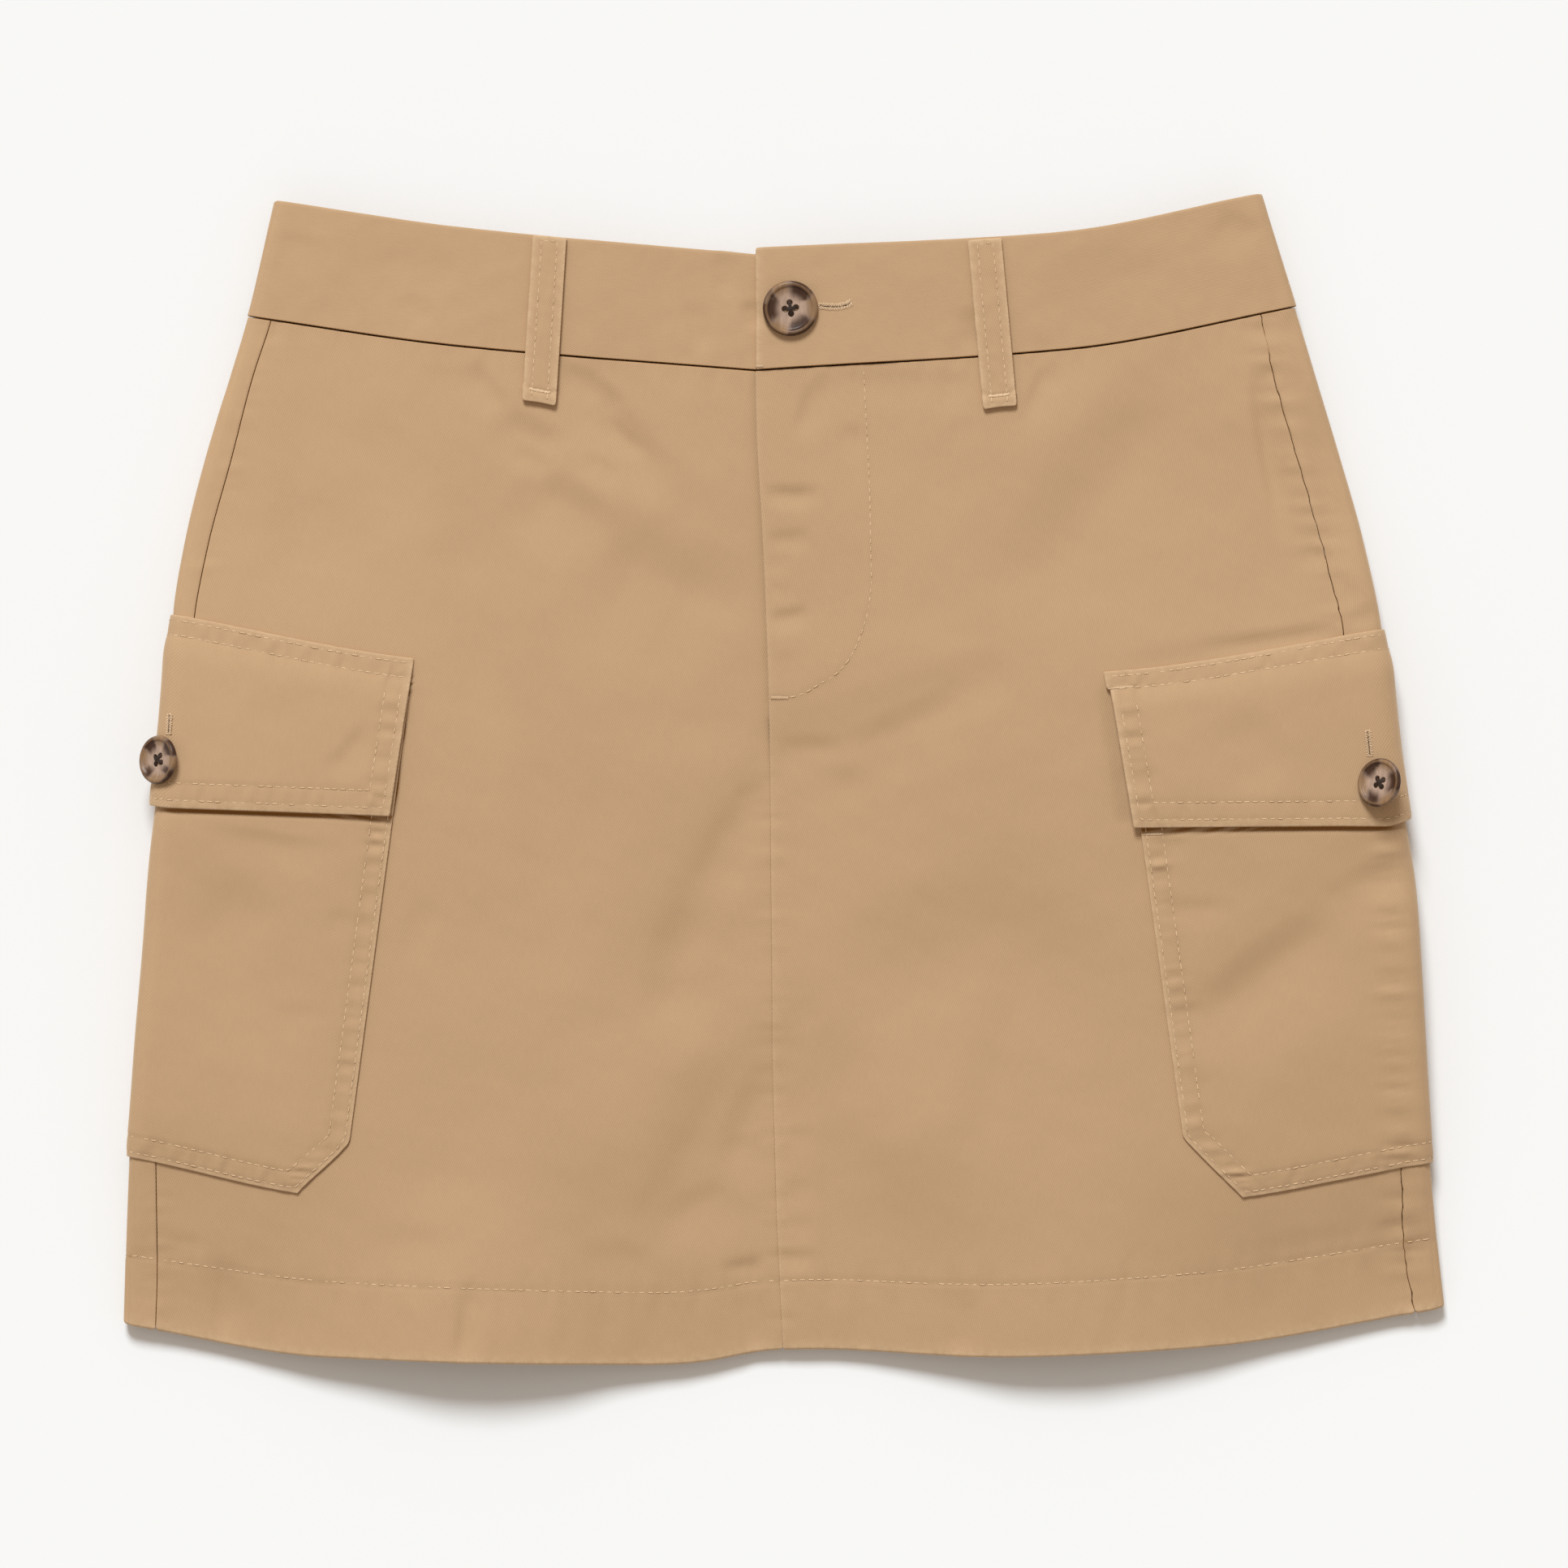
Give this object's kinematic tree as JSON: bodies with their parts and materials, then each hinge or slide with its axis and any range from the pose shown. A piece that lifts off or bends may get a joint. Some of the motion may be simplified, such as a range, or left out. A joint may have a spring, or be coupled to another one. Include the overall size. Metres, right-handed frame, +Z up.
{
  "type": "cargo skirt",
  "caption": "Short A-line cotton twill cargo skirt laid flat, with a buttoned waistband, belt loops, a fly, and flapped patch pockets wrapped round its sides.",
  "frame": {"origin": "centre of the skirt's outline on the surface it lies on", "axes": "+Z up from the surface, out of the skirt's front; +Y towards the waistband; +X towards the viewer's right, the side whose front laps over"},
  "size_m": [0.4934, 0.4372, 0.0328],
  "materials": {
    "front_panel_under": "matte cotton twill",
    "front_panel_over": "matte cotton twill",
    "back_panel": "matte cotton twill",
    "waistband": "matte cotton twill",
    "belt_loop_front_under": "matte cotton twill",
    "belt_loop_front_over": "matte cotton twill",
    "belt_loop_back_under": "matte cotton twill",
    "belt_loop_back_centre": "matte cotton twill",
    "belt_loop_back_over": "matte cotton twill",
    "pocket_under": "matte cotton twill",
    "pocket_over": "matte cotton twill",
    "flap_under": "matte cotton twill",
    "flap_over": "matte cotton twill",
    "waist_button": "semi-gloss mottled horn",
    "pocket_button_under": "semi-gloss mottled horn",
    "pocket_button_over": "semi-gloss mottled horn"
  },
  "bodies": {
    "root": {"front_panel_under": "front_panel_under", "front_panel_over": "front_panel_over", "back_panel": "back_panel", "waistband": "waistband", "belt_loop_front_under": "belt_loop_front_under", "belt_loop_front_over": "belt_loop_front_over", "belt_loop_back_under": "belt_loop_back_under", "belt_loop_back_centre": "belt_loop_back_centre", "belt_loop_back_over": "belt_loop_back_over", "pocket_under": "pocket_under", "pocket_over": "pocket_over", "flap_under": "flap_under", "flap_over": "flap_over", "waist_button": "waist_button", "pocket_button_under": "pocket_button_under", "pocket_button_over": "pocket_button_over"}
  },
  "joints": []
}
